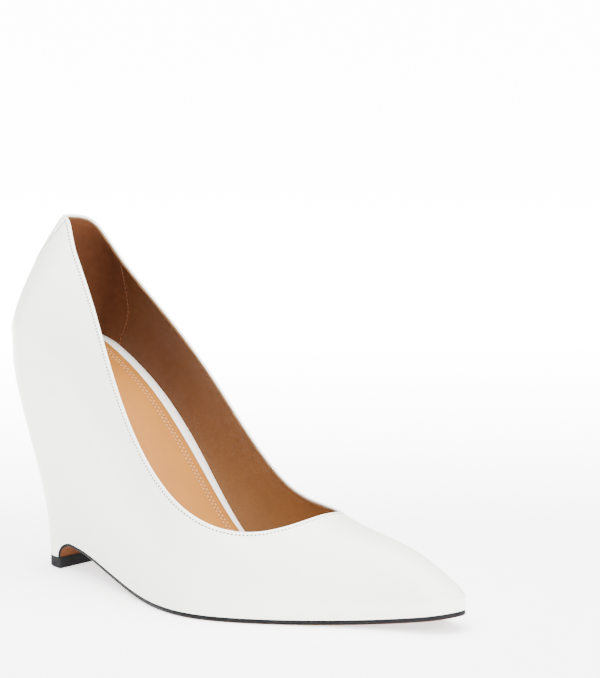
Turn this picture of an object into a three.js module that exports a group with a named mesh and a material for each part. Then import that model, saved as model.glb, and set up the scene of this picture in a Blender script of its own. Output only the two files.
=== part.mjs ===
// Pointed wedge pump for the right foot: white leather upper in one with the cover of a high
// wedge, insole with a tan sock, thin leather outsole and a small heel tip.
// Millimetres, +X to the toe, +Y to the inner side of the foot, +Z up, standing on its sole.
import * as THREE from 'three';

// Main sizes
const LENGTH = 230;
const BALL_WIDTH = 77.5;
const SEAT_HEIGHT = 106;
const LAST_DEPTH = 50;
const THROAT_AT = 165.6;

// Walls, boards and gaps
const UPPER_WALL = 1.6;
const BOARD = 2.5;
const SOCK = 0.9;
const SOCK_INSET = 7;
const SOCK_INSET_BALL = 4;
const SOCK_TAPER_START = 60;
const WEDGE_THIN_END = 1.7;
const SOLE = 2.05;
const SOLE_ARCH = 1.4;
const FIT_GAP = 0.3;

// Heel tip, notch, arch and toe
const TIP_HEIGHT = 5;
const TIP_LENGTH = 16.8;
const NOTCH_HEIGHT = 12.1;
const NOTCH_END = 24.9;
const ARCH_END = 110.4;
const SPRING_START = 165.6;
const TOE_SPRING = 6.5;
const NOSE_LENGTH = 9;
const ARCH_FULLNESS = 0.9;

// Heel curve: how far the back leans away from its rearmost point, low at the tip and high at
// the collar, from what height the upper lean starts, over what length both fade, and how the
// plan of the heel rounds off
const LEAN_LOW = 13.8;
const LEAN_TOP = 22;
const LEAN_START = 99.4;
const LEAN_POWER = 1.9;
const LEAN_FADE = 98.5;
const ROUND_LOW = 20.2;
const ROUND_SEAT = 17.8;
const ROUND_COLLAR = 42.5;
const ROUND_POWER = 1.85;
const ROUND_GROWTH = 1.5;

// Throat: how long the opening rounds off towards it
const THROAT_RUN = 48.9;
const THROAT_POWER = 2.37;

// One row for each section of the last, from the heel to the toe.
// at: place along LENGTH. level: height of the widest line, share of SEAT_HEIGHT.
// outer, inner: half widths at that line, share of BALL_WIDTH.
// outerFoot, innerFoot: half widths at the sole edge, share of BALL_WIDTH.
// rise: top of the last over the widest line, share of LAST_DEPTH.
// swing: middle line of the last towards the inner side, share of BALL_WIDTH.
// outerOpen, innerOpen: opening from the top of the last down to the top edge, degrees.
// hollow: 0 for a rounded flank, 1 for a hollow one. draw: how fast the last narrows over its
// widest line, 0.5 for an ellipse and more for a narrower top.
// wedge: height of the wedge between outsole and insole, share of SEAT_HEIGHT.
const COLUMNS = ['at', 'level', 'outer', 'inner', 'outerFoot', 'innerFoot', 'rise', 'swing',
  'outerOpen', 'innerOpen', 'hollow', 'draw', 'wedge'];
const SECTIONS = [
  [0.00, 1.000, 0.341, 0.343, 0.153, 0.180, 1.290, 0.000, 39.5, 39.5, 1.0, 0.85, 0.826],
  [0.07, 0.965, 0.346, 0.349, 0.148, 0.180, 1.304, 0.013, 38.0, 39.5, 1.0, 0.92, 0.806],
  [0.14, 0.910, 0.348, 0.364, 0.165, 0.180, 1.208, 0.020, 42.0, 43.0, 1.0, 0.96, 0.739],
  [0.24, 0.790, 0.379, 0.394, 0.246, 0.232, 1.114, 0.017, 52.0, 51.0, 1.0, 0.85, 0.585],
  [0.35, 0.580, 0.434, 0.432, 0.352, 0.297, 1.125, -0.005, 64.5, 59.5, 1.0, 0.60, 0.337],
  [0.46, 0.360, 0.487, 0.461, 0.460, 0.374, 1.100, -0.034, 68.5, 66.5, 0.8, 0.51, 0.109],
  [0.57, 0.184, 0.520, 0.482, 0.516, 0.458, 0.990, -0.042, 64.5, 65.0, 0.3, 0.50, 0.008],
  [0.68, 0.115, 0.483, 0.467, 0.458, 0.452, 0.685, 0.013, 64.5, 58.0, 0.0, 0.50, 0.000],
  [0.80, 0.096, 0.376, 0.363, 0.315, 0.348, 0.500, 0.093, 62.5, 58.0, 0.0, 0.50, 0.000],
  [0.90, 0.104, 0.247, 0.233, 0.208, 0.220, 0.340, 0.132, 61.0, 58.5, 0.0, 0.50, 0.000],
  [1.00, 0.130, 0.127, 0.095, 0.121, 0.090, 0.000, 0.157, 60.0, 60.0, 0.0, 0.50, 0.000],
];

// Numbers of sections and levels
const HEEL_STEPS = 9;
const NOTCH_STEPS = 6;
const OPENING_STEPS = 17;
const VAMP_STEPS = 6;
const NOSE_STEPS = 6;
const LOWER_LEVELS = 7;
const UPPER_LEVELS = 9;

// Curve through the rows of one column, with no bend at its ends
function naturalCurve(xs, ys) {
  const n = xs.length;
  const bend = new Array(n).fill(0);
  const c = new Array(n).fill(0);
  const d = new Array(n).fill(0);
  for (let i = 1; i < n - 1; i += 1) {
    const h0 = xs[i] - xs[i - 1];
    const h1 = xs[i + 1] - xs[i];
    const slopeChange = (ys[i + 1] - ys[i]) / h1 - (ys[i] - ys[i - 1]) / h0;
    const pivot = 2 * (h0 + h1) - h0 * c[i - 1];
    c[i] = h1 / pivot;
    d[i] = (6 * slopeChange - h0 * d[i - 1]) / pivot;
  }
  for (let i = n - 2; i > 0; i -= 1) {
    bend[i] = d[i] - c[i] * bend[i + 1];
  }
  return (x) => {
    let i = 0;
    while (i < n - 2 && x > xs[i + 1]) {
      i += 1;
    }
    const h = xs[i + 1] - xs[i];
    const a = (xs[i + 1] - x) / h;
    const b = (x - xs[i]) / h;
    return a * ys[i] + b * ys[i + 1]
      + ((a ** 3 - a) * bend[i] + (b ** 3 - b) * bend[i + 1]) * h * h / 6;
  };
}

function column(name, size) {
  const k = COLUMNS.indexOf(name);
  return naturalCurve(SECTIONS.map((row) => row[0] * LENGTH), SECTIONS.map((row) => row[k] * size));
}

const level = column('level', SEAT_HEIGHT);
const widest = { outer: column('outer', BALL_WIDTH), inner: column('inner', BALL_WIDTH) };
const foot = { outer: column('outerFoot', BALL_WIDTH), inner: column('innerFoot', BALL_WIDTH) };
const open = { outer: column('outerOpen', 1), inner: column('innerOpen', 1) };
const rise = column('rise', LAST_DEPTH);
const swing = column('swing', BALL_WIDTH);
const hollow = column('hollow', 1);
const draw = column('draw', 1);
const wedgeHeight = column('wedge', SEAT_HEIGHT);
const SIDE = { outer: -1, inner: 1 };

const clamp = (v, lo, hi) => Math.min(hi, Math.max(lo, v));
const smooth = (t) => t * t * (3 - 2 * t);
const radians = (deg) => deg * Math.PI / 180;

// Share of the half width gained from the sole edge to the widest line
function flank(t, c) {
  return (1 - c) * (1 - (1 - t) ** 2) + c * smooth(t);
}

// The opening narrows to nothing at the throat
function opening(side, x) {
  const t = clamp((THROAT_AT - x) / THROAT_RUN, 0, 1);
  return radians(open[side](x)) * (1 - (1 - t) ** THROAT_POWER) ** (1 / THROAT_POWER);
}

// Height over the widest line at an angle round the last, and the half width there
function overLast(x, nose, phi) {
  return {
    up: rise(x) * nose * Math.sin(phi),
    wide: Math.cos(phi) ** (2 * draw(x)),
  };
}

const COLLAR_HEIGHT = SEAT_HEIGHT + overLast(0, 1, Math.PI / 2 - opening('outer', 0)).up;

// Forward lean of the back: low towards the tip, high towards the collar
function lean(z) {
  const t = clamp((z - TIP_HEIGHT) / (SEAT_HEIGHT - TIP_HEIGHT), 0, 1);
  const s = clamp((z - LEAN_START) / (COLLAR_HEIGHT - LEAN_START), 0, 2);
  return LEAN_LOW * (1 - smooth(t)) + LEAN_TOP * s ** LEAN_POWER;
}

function leanShare(x) {
  return clamp(1 - x / LEAN_FADE, 0, 1) ** 2;
}

function place(x, y, z) {
  return new THREE.Vector3(x + lean(z) * leanShare(x), y, z);
}

// Rounding of the heel in plan, 0 at the very back and 1 past the rounding length
function heelRound(x, z) {
  const t = clamp((z - TIP_HEIGHT) / (SEAT_HEIGHT - TIP_HEIGHT), 0, 1);
  const s = clamp((z - SEAT_HEIGHT) / (COLLAR_HEIGHT - SEAT_HEIGHT), 0, 1.2);
  const run = ROUND_LOW + (ROUND_SEAT - ROUND_LOW) * smooth(t) + (ROUND_COLLAR - ROUND_SEAT) * s ** ROUND_GROWTH;
  const g = clamp(x / run, 0, 1);
  return (1 - (1 - g) ** ROUND_POWER) ** (1 / ROUND_POWER);
}

function noseRound(x) {
  const q = clamp((x - (LENGTH - NOSE_LENGTH)) / NOSE_LENGTH, 0, 1);
  return Math.sqrt(Math.max(0, 1 - q * q));
}

// Top of the outsole. lift moves the line up and back by that distance.
const TIP_FRONT_SCALE = 1 - 2 * LEAN_LOW * (1 - TIP_LENGTH / LEAN_FADE) / LEAN_FADE;
const BREAST_AT = TIP_LENGTH - SOLE_ARCH / TIP_FRONT_SCALE;

function archLine(x) {
  const t = clamp((x - NOTCH_END) / (ARCH_END - NOTCH_END), 0, 1);
  const spring = clamp((x - SPRING_START) / (LENGTH - SPRING_START), 0, 1);
  return SOLE + (NOTCH_HEIGHT - SOLE) * (1 - t) ** 2 * (1 + ARCH_FULLNESS * t) + TOE_SPRING * spring ** 2;
}

function soleLine(x, lift) {
  const start = BREAST_AT - lift;
  const base = TIP_HEIGHT + FIT_GAP;
  if (x <= start) {
    return base;
  }
  if (x < NOTCH_END) {
    const u = (x - start) / (NOTCH_END - start);
    return base + (NOTCH_HEIGHT + lift - base) * Math.sqrt(1 - (1 - u) ** 2);
  }
  return archLine(x) + lift;
}

// Stations along the last
function stationsBetween(a, b, n, spread) {
  return Array.from({ length: n }, (_, k) => a + (b - a) * spread((k + 1) / n));
}

const slowStart = (t) => 1 - Math.cos(t * Math.PI / 2);
const slowEnd = (t) => Math.sin(t * Math.PI / 2);
const halfSlowEnd = (t) => 0.5 * t + 0.5 * slowEnd(t);
const UPPER_BREAST = BREAST_AT - FIT_GAP;
const NOSE_START = LENGTH - NOSE_LENGTH;
const STATIONS = [
  0,
  ...stationsBetween(0, UPPER_BREAST, HEEL_STEPS, slowStart),
  ...stationsBetween(UPPER_BREAST, NOTCH_END, NOTCH_STEPS, slowStart),
  ...stationsBetween(NOTCH_END, THROAT_AT, OPENING_STEPS, halfSlowEnd),
  ...stationsBetween(THROAT_AT, NOSE_START, VAMP_STEPS, (t) => t),
  ...stationsBetween(NOSE_START, LENGTH, NOSE_STEPS, slowEnd),
];
const THROAT_STATION = HEEL_STEPS + NOTCH_STEPS + OPENING_STEPS;

// One side of a section of the outer surface, from the sole edge up to the top edge or ridge
function sectionPoints(side, x) {
  const nose = noseRound(x);
  const zl = level(x);
  const ze = soleLine(x, FIT_GAP);
  const w = widest[side](x);
  const b = foot[side](x);
  const points = [];
  const add = (half, z) => {
    points.push(place(x, swing(x) + SIDE[side] * half * heelRound(x, z), z));
  };
  for (let j = 0; j <= LOWER_LEVELS; j += 1) {
    const t = j / LOWER_LEVELS;
    add((b + (w - b) * flank(t, clamp(hollow(x), 0, 1))) * nose, ze + (zl - ze) * t);
  }
  const top = Math.PI / 2 - opening(side, x);
  for (let j = 1; j <= UPPER_LEVELS; j += 1) {
    const over = overLast(x, nose, top * j / UPPER_LEVELS);
    add(j === UPPER_LEVELS && x >= THROAT_AT ? 0 : w * nose * over.wide, zl + over.up);
  }
  return points;
}

const POINTS_PER_MM = 1e4;

// Collects faces, joins points that coincide and drops faces that vanish
class Body {
  constructor() {
    this.keys = new Map();
    this.points = [];
    this.faces = [];
  }

  vertex(p) {
    const key = [p.x, p.y, p.z].map((v) => Math.round(v * POINTS_PER_MM)).join(' ');
    if (!this.keys.has(key)) {
      this.keys.set(key, this.points.length);
      this.points.push(p);
    }
    return this.keys.get(key);
  }

  face(a, b, c) {
    const f = [this.vertex(a), this.vertex(b), this.vertex(c)];
    if (f[0] !== f[1] && f[1] !== f[2] && f[2] !== f[0]) {
      this.faces.push(f);
    }
  }

  // Two faces across the shorter diagonal
  quad(a, b, c, d) {
    if (a.distanceToSquared(c) <= b.distanceToSquared(d)) {
      this.face(a, b, c);
      this.face(a, c, d);
    } else {
      this.face(a, b, d);
      this.face(b, c, d);
    }
  }

  grid(rows, flip) {
    for (let i = 0; i + 1 < rows.length; i += 1) {
      for (let j = 0; j + 1 < rows[i].length; j += 1) {
        const q = [rows[i][j], rows[i + 1][j], rows[i + 1][j + 1], rows[i][j + 1]];
        this.quad(...(flip ? q.reverse() : q));
      }
    }
  }

  geometry() {
    let volume = 0;
    for (const [a, b, c] of this.faces) {
      volume += this.points[a].dot(this.points[b].clone().cross(this.points[c]));
    }
    const geometry = new THREE.BufferGeometry();
    const xyz = this.points.flatMap((p) => [p.x, p.y, p.z]);
    const index = this.faces.flatMap((f) => (volume < 0 ? [f[0], f[2], f[1]] : f));
    geometry.setAttribute('position', new THREE.Float32BufferAttribute(xyz, 3));
    geometry.setIndex(index);
    geometry.computeVertexNormals();
    return geometry;
  }
}

const outerSkin = {};
for (const side of ['outer', 'inner']) {
  outerSkin[side] = STATIONS.map((x) => sectionPoints(side, x));
}

// Outward normals of the joined outer surface, looked up by point
function skinNormals() {
  const skin = new Body();
  skin.grid(outerSkin.outer, true);
  skin.grid(outerSkin.inner, false);
  const normals = skin.points.map(() => new THREE.Vector3());
  for (const [a, b, c] of skin.faces) {
    const [p, q, r] = [skin.points[a], skin.points[b], skin.points[c]];
    const n = q.clone().sub(p).cross(r.clone().sub(p));
    for (const k of [a, b, c]) {
      normals[k].add(n);
    }
  }
  const middle = skin.points[skin.vertex(outerSkin.outer[0][LOWER_LEVELS])];
  const outward = normals[skin.vertex(middle)].x < 0 ? 1 : -1;
  return (p) => normals[skin.vertex(p)].clone().normalize().multiplyScalar(outward);
}

const normalAt = skinNormals();

// A wall that faces less than this share sideways counts as facing by it
const LEAST_FACING = 0.45;

// Level direction into the shoe: square to the wall round the heel and nose, straight across
// between them, so that the breast of the notch stays flat
function inwardStep(n, x, gap) {
  const past = smooth(clamp(x / UPPER_BREAST, 0, 1));
  const before = 1 - smooth(clamp((x - NOSE_START + NOSE_LENGTH) / NOSE_LENGTH, 0, 1));
  const d = new THREE.Vector3(-n.x * (1 - past * before), -n.y, 0).normalize();
  return d.multiplyScalar(gap / Math.max(LEAST_FACING, -d.dot(n)));
}

// Inner surface of the upper: the wall inside the outer surface, and level with it at the sole
const innerSkin = {};
const skinNormal = {};
for (const side of ['outer', 'inner']) {
  skinNormal[side] = outerSkin[side].map((points) => points.map((p) => normalAt(p)));
  innerSkin[side] = outerSkin[side].map((points, i) => points.map((p, j) => {
    const n = skinNormal[side][i][j];
    if (j > 0) {
      return p.clone().addScaledVector(n, -UPPER_WALL);
    }
    return p.clone().add(inwardStep(n, STATIONS[i], UPPER_WALL));
  }));
}

function upperGeometry() {
  const body = new Body();
  for (const side of ['outer', 'inner']) {
    const flip = side === 'outer';
    const top = LOWER_LEVELS + UPPER_LEVELS;
    body.grid(outerSkin[side], flip);
    body.grid(innerSkin[side], !flip);
    body.grid(STATIONS.map((_, i) => [innerSkin[side][i][0], outerSkin[side][i][0]]), flip);
    const rim = STATIONS.slice(0, THROAT_STATION + 1);
    body.grid(rim.map((_, i) => [outerSkin[side][i][top], innerSkin[side][i][top]]), flip);
  }
  return body.geometry();
}

// Point a given distance inside the inner surface at one station and height
function insideWall(side, i, z, gap) {
  const wall = innerSkin[side][i];
  let j = 0;
  while (j < LOWER_LEVELS + UPPER_LEVELS - 2 && z > wall[j + 1].z) {
    j += 1;
  }
  const t = clamp((z - wall[j].z) / Math.max(1e-6, wall[j + 1].z - wall[j].z), 0, 1);
  const p = wall[j].clone().lerp(wall[j + 1], t);
  const n = skinNormal[side][i][j].clone().lerp(skinNormal[side][i][j + 1], t);
  return p.add(inwardStep(n.normalize(), STATIONS[i], gap)).setZ(z);
}

// Body through closed section loops, with flat ends
function loft(loops) {
  const body = new Body();
  const closed = loops.map((loop) => [...loop, loop[0]]);
  body.grid(closed, false);
  for (const [loop, flip] of [[loops[0], false], [loops[loops.length - 1], true]]) {
    const half = loop.length / 2;
    for (let k = 0; k + 1 < half; k += 1) {
      const q = [loop[k], loop[k + 1], loop[loop.length - 2 - k], loop[loop.length - 1 - k]];
      body.quad(...(flip ? q.reverse() : q));
    }
  }
  return body.geometry();
}

// Heights of the layers under the foot at each station
const lastStation = STATIONS.length - 1;
const wedgeTop = STATIONS.map((x) => archLine(x) + Math.max(0, wedgeHeight(x)));
const boardBottom = wedgeTop.map((z) => z + FIT_GAP);

function slopeFactor(heights, i) {
  const a = Math.max(0, i - 1);
  const b = Math.min(lastStation, i + 1);
  const run = place(STATIONS[b], 0, heights[b]).x - place(STATIONS[a], 0, heights[a]).x;
  return Math.hypot(1, (heights[b] - heights[a]) / run);
}

const boardTop = boardBottom.map((z, i) => z + BOARD * slopeFactor(boardBottom, i));

function wedgeGeometry() {
  const end = STATIONS.findIndex((x, i) => (
    x > NOTCH_END && wedgeTop[i] - archLine(x) < WEDGE_THIN_END
  ));
  const loops = [];
  for (let i = 0; i < end; i += 1) {
    const up = (side) => innerSkin[side][i].slice(0, LOWER_LEVELS + 1)
      .map((p, k) => (k < LOWER_LEVELS ? Math.min(p.z, wedgeTop[i]) : wedgeTop[i]))
      .map((z) => insideWall(side, i, z, FIT_GAP));
    loops.push([...up('outer'), ...up('inner').reverse()]);
  }
  return loft(loops);
}

function insoleLoops() {
  return STATIONS.map((_, i) => [
    insideWall('outer', i, boardBottom[i], FIT_GAP),
    insideWall('outer', i, boardTop[i], FIT_GAP),
    insideWall('inner', i, boardTop[i], FIT_GAP),
    insideWall('inner', i, boardBottom[i], FIT_GAP),
  ]);
}

// The sock keeps further from the insole's edge at the heel than at the ball
function sockInset(x) {
  const t = clamp((x - SOCK_TAPER_START) / (ARCH_END - SOCK_TAPER_START), 0, 1);
  return SOCK_INSET + (SOCK_INSET_BALL - SOCK_INSET) * smooth(t);
}

// Outline of the insole's top moved inwards by the sock's inset
function sockGeometry() {
  const loops = insoleLoops();
  const outer = loops.map((loop) => loop[1]);
  const inner = loops.map((loop) => loop[2]);
  const middle = loops.map((loop) => loop[1].clone().lerp(loop[2], 0.5));
  const heightAt = (x) => {
    let i = 0;
    while (i < lastStation - 1 && x > middle[i + 1].x) {
      i += 1;
    }
    const t = (x - middle[i].x) / (middle[i + 1].x - middle[i].x);
    const here = slopeFactor(boardTop, i);
    const next = slopeFactor(boardTop, i + 1);
    return {
      z: middle[i].z + (middle[i + 1].z - middle[i].z) * t,
      factor: here + (next - here) * t,
    };
  };
  const moved = (line, other, i, sign) => {
    const before = i > 0 ? line[i - 1] : other[1];
    const after = i < lastStation ? line[i + 1] : other[lastStation - 1];
    const along = after.clone().sub(before).setZ(0).normalize();
    const across = new THREE.Vector3(-along.y, along.x, 0);
    return line[i].clone().addScaledVector(across, sign * sockInset(STATIONS[i]));
  };
  const end = STATIONS.findIndex((x) => x > NOSE_START - NOSE_LENGTH / 2);
  const sections = [];
  for (let i = 0; i < end; i += 1) {
    const pair = [moved(outer, inner, i, 1), moved(inner, outer, i, -1)];
    const loop = [];
    for (const [p, thick] of [[pair[0], 0], [pair[0], SOCK], [pair[1], SOCK], [pair[1], 0]]) {
      const under = heightAt(p.x);
      loop.push(new THREE.Vector3(p.x, p.y, under.z + (FIT_GAP + thick) * under.factor));
    }
    sections.push(loop);
  }
  return loft(sections);
}

// Outsole: a layer under the sole line, square to it, up the breast and down to the toe
function outsoleGeometry() {
  const xs = STATIONS.filter((x) => x > BREAST_AT);
  xs.unshift(BREAST_AT);
  const line = xs.map((x) => {
    const z = soleLine(x, 0);
    const half = (side) => foot[side](x) * noseRound(x) * heelRound(x, z);
    const p = place(x, 0, z);
    return { x: p.x, z, outer: swing(x) - half('outer'), inner: swing(x) + half('inner'), at: x };
  });
  const loops = line.map((p, i) => {
    const a = line[Math.max(0, i - 1)];
    const b = line[Math.min(line.length - 1, i + 1)];
    let [nx, nz] = [b.z - a.z, a.x - b.x];
    if (i === 0) {
      [nx, nz] = [1, 0];
    }
    const grow = smooth(clamp((p.at - NOTCH_END) / (ARCH_END - NOTCH_END), 0, 1));
    const thick = SOLE_ARCH + (SOLE - SOLE_ARCH) * grow;
    const step = thick / Math.hypot(nx, nz);
    const low = { x: p.x + nx * step, z: Math.max(0, p.z + nz * step) };
    return [
      new THREE.Vector3(low.x, p.outer, low.z),
      new THREE.Vector3(p.x, p.outer, p.z),
      new THREE.Vector3(p.x, p.inner, p.z),
      new THREE.Vector3(low.x, p.inner, low.z),
    ];
  });
  return loft(loops);
}

function tipGeometry() {
  const xs = STATIONS.filter((x) => x < BREAST_AT - FIT_GAP);
  xs.push(BREAST_AT, TIP_LENGTH);
  const loops = xs.map((x) => {
    const at = (side, z) => {
      const half = foot[side](x) * heelRound(x, TIP_HEIGHT);
      return place(x, swing(x) + SIDE[side] * half, TIP_HEIGHT).setZ(z);
    };
    return [at('outer', 0), at('outer', TIP_HEIGHT), at('inner', TIP_HEIGHT), at('inner', 0)];
  });
  return loft(loops);
}

function leather(color, roughness) {
  return new THREE.MeshStandardMaterial({ color, roughness, metalness: 0 });
}

const pieces = [
  ['upper', upperGeometry(), leather(0xe4e4de, 0.36)],
  ['wedge', wedgeGeometry(), leather(0xc9b48f, 0.8)],
  ['insole', loft(insoleLoops()), leather(0xe2e0d8, 0.5)],
  ['sock', sockGeometry(), leather(0xd2a474, 0.55)],
  ['outsole', outsoleGeometry(), leather(0x3a3836, 0.45)],
  ['heel_tip', tipGeometry(), leather(0x1b1b1c, 0.6)],
];

const shoe = new THREE.Group();
shoe.name = 'wedge_shoe';
for (const [name, geometry, material] of pieces) {
  const mesh = new THREE.Mesh(geometry, material);
  mesh.name = name;
  shoe.add(mesh);
}

// The origin is the middle of the shoe's box, on the floor
const box = new THREE.Box3().setFromObject(shoe);
shoe.position.set(-(box.min.x + box.max.x) / 2, -(box.min.y + box.max.y) / 2, -box.min.z);

export default shoe;
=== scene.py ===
"""Looks of the white wedge pump: cover, lining, sock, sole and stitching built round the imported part."""

import math

import bmesh
import bpy
import numpy as np
from mathutils import Matrix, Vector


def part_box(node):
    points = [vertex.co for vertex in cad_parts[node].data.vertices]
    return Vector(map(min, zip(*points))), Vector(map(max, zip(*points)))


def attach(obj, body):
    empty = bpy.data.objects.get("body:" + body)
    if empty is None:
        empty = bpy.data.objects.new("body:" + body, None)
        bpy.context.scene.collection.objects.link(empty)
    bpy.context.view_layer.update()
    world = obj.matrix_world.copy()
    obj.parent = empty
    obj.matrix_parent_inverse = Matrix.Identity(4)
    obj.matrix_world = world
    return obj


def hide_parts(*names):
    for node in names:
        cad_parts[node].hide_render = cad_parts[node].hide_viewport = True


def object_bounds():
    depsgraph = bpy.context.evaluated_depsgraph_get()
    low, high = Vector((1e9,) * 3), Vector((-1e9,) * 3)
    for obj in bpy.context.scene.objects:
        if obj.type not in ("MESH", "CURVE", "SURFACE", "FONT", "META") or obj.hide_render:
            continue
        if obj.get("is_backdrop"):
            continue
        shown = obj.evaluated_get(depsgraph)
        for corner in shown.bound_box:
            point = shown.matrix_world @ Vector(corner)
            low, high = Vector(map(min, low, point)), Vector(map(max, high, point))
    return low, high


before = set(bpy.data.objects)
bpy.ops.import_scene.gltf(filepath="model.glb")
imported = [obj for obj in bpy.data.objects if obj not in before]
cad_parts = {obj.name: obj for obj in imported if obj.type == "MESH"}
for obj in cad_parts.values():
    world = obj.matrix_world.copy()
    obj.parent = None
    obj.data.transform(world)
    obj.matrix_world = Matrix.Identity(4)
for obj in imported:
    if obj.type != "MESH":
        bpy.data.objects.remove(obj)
packed_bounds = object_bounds()

MM = 0.001

# Sizes of the shoe, in millimetres, as in the part
LENGTH = 230
BALL_WIDTH = 77.5
SEAT_HEIGHT = 106
LAST_DEPTH = 50
THROAT_AT = 165.6
UPPER_WALL = 1.6
BOARD = 2.5
SOCK = 0.9
SOCK_INSET = 7
SOCK_INSET_BALL = 4
SOCK_TAPER_START = 60
SOLE = 2.05
SOLE_ARCH = 1.4
FIT_GAP = 0.3
TIP_HEIGHT = 5
TIP_LENGTH = 16.8
NOTCH_HEIGHT = 12.1
NOTCH_END = 24.9
ARCH_END = 110.4
SPRING_START = 165.6
TOE_SPRING = 6.5
NOSE_LENGTH = 9
LEAN_LOW = 13.8
LEAN_TOP = 22
LEAN_START = 99.4
LEAN_POWER = 1.9
LEAN_FADE = 98.5
ROUND_LOW = 20.2
ROUND_SEAT = 17.8
ROUND_COLLAR = 42.5
ROUND_POWER = 1.85
THROAT_RUN = 48.9
THROAT_POWER = 2.37

# Sections of the last, as in the part: place, widest line, half widths, foot widths, rise, swing,
# opening angles, hollow, draw, wedge height, all as shares of the sizes above
SECTIONS = np.array([
    [0.00, 1.000, 0.341, 0.343, 0.153, 0.180, 1.290, 0.000, 39.5, 39.5, 1.0, 0.85, 0.826],
    [0.07, 0.965, 0.346, 0.349, 0.148, 0.180, 1.304, 0.013, 38.0, 39.5, 1.0, 0.92, 0.806],
    [0.14, 0.910, 0.348, 0.364, 0.165, 0.180, 1.208, 0.020, 42.0, 43.0, 1.0, 0.96, 0.739],
    [0.24, 0.790, 0.379, 0.394, 0.246, 0.232, 1.114, 0.017, 52.0, 51.0, 1.0, 0.85, 0.585],
    [0.35, 0.580, 0.434, 0.432, 0.352, 0.297, 1.125, -0.005, 64.5, 59.5, 1.0, 0.60, 0.337],
    [0.46, 0.360, 0.487, 0.461, 0.460, 0.374, 1.100, -0.034, 68.5, 66.5, 0.8, 0.51, 0.109],
    [0.57, 0.184, 0.520, 0.482, 0.516, 0.458, 0.990, -0.042, 64.5, 65.0, 0.3, 0.50, 0.008],
    [0.68, 0.115, 0.483, 0.467, 0.458, 0.452, 0.685, 0.013, 64.5, 58.0, 0.0, 0.50, 0.000],
    [0.80, 0.096, 0.376, 0.363, 0.315, 0.348, 0.500, 0.093, 62.5, 58.0, 0.0, 0.50, 0.000],
    [0.90, 0.104, 0.247, 0.233, 0.208, 0.220, 0.340, 0.132, 61.0, 58.5, 0.0, 0.50, 0.000],
    [1.00, 0.130, 0.127, 0.095, 0.121, 0.090, 0.000, 0.157, 60.0, 60.0, 0.0, 0.50, 0.000],
])

# Thicknesses of what is dressed on the part
COVER = 1.0
RIM_SWELL = 0.3
FOOT_DROP = 0.2
LINING_DROP = 0.7
LINING_GAP = 0.04
LINING_SWELL = 0.06

# Relief of the cover: trough and shoulder along the insole's edge, and a fold low on the outer flank
TROUGH_OVER = 1.5
TROUGH_DEPTH = 0.5
TROUGH_HALF = 4.5
SHOULDER_OVER = 8
SHOULDER_HEIGHT = 0.24
SHOULDER_HALF = 5
RELIEF_FADES = (92, 112)
FOLD_AT = 76.5
FOLD_LEVEL = 23
FOLD_FALL = 0.86
FOLD_BEND = 0.006
FOLD_SQUARE = 0.75
FOLD_DEPTH = 0.16
FOLD_HALF = 1.3
FOLD_STARTS = (70, 80)
FOLD_FADES = (100, 108)

# Cut edge of the lining: its half sizes, how far it sinks and stands proud, and its waves
CORD_ACROSS = 0.4
CORD_DOWN = 0.32
CORD_SINK = 0.12
CORD_PROUD = 0.1
CORD_WAVES = ((0.05, 2.1), (0.04, 0.83))

# Heel grip and back strip: the wall's shares they lie between, their reach from the heel, thickness
GRIP_LOW = 0.94
GRIP_HIGH = 1.97
GRIP_FRONT = 29
GRIP_BULGE = 8.2
GRIP_ARCH = 0.58
GRIP_WAVE = 0.8
GRIP_WAVE_PACE = 9
GRIP_THICK = 0.32
GRIP_SINK = 0.1
STRIP_TOP = 1.99
STRIP_NARROW = 1.3
STRIP_GAIN = 11.0
STRIP_WIDENS = 0.66
STRIP_PROUD = 0.4
STRIP_SINK = 0.3

# Nominal half width and height of such a patch, from which its thinning border is counted
PATCH_HALF = 30
PATCH_RISE = 45

# Seams: station at the top edge, and how far each slants back to its foot
SEAM_AT = 115.3
SEAM_SLANT = 16
SEAM_BOW = 1.4
LINING_SEAM_AT = 137.3
LINING_SEAM_SLANT = 14

# Stitches: length, width and height of each kind, pitch along the row and distance from the edge
TOP_STITCH = (1.12, 0.42, 0.36)
TOP_HOLE = (0.9, 0.66, 0.12)
TOP_PITCH = 1.62
TOP_ROW = 1.3
SEAM_TURN = (2.2, 1.7, 1.1)
SOCK_STITCH = (1.4, 0.42, 0.4)
SOCK_HOLE = (0.62, 0.5, 0.12)
SOCK_PITCH = 1.95
SOCK_HOLE_AT = 0.97
SOCK_ROWS = (4.2, 6.1)
SOCK_ROW_FROM = 5
SOCK_ROW_TO = 190
GRIP_STITCH = (1.4, 0.4, 0.36)
GRIP_PITCH = 2.0
GRIP_ROW = 1.3

# Numbers of grid columns from heel to throat and from throat to toe, and of rows up the wall
HEEL_COLUMNS = 130
TOE_COLUMNS = 60
FLANK_ROWS = 44
COLLAR_ROWS = 26


def natural_curve(xs, ys):
    """Cubic curve through the points with no bend at its two ends."""
    n = len(xs)
    h = np.diff(xs)
    matrix = np.eye(n)
    right = np.zeros(n)
    i = np.arange(1, n - 1)
    matrix[i, i - 1] = h[:-1]
    matrix[i, i] = 2 * (h[:-1] + h[1:])
    matrix[i, i + 1] = h[1:]
    right[1:-1] = 6 * np.diff(np.diff(ys) / h)
    bend = np.linalg.solve(matrix, right)

    def at(x):
        k = np.clip(np.searchsorted(xs, x) - 1, 0, n - 2)
        a = (xs[k + 1] - x) / h[k]
        b = 1 - a
        bent = (a ** 3 - a) * bend[k] + (b ** 3 - b) * bend[k + 1]
        return a * ys[k] + b * ys[k + 1] + bent * h[k] ** 2 / 6

    return at


def column(k, size):
    """Curve along the last through one column of the sections, as shares of a size."""
    return natural_curve(SECTIONS[:, 0] * LENGTH, SECTIONS[:, k] * size)


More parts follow.
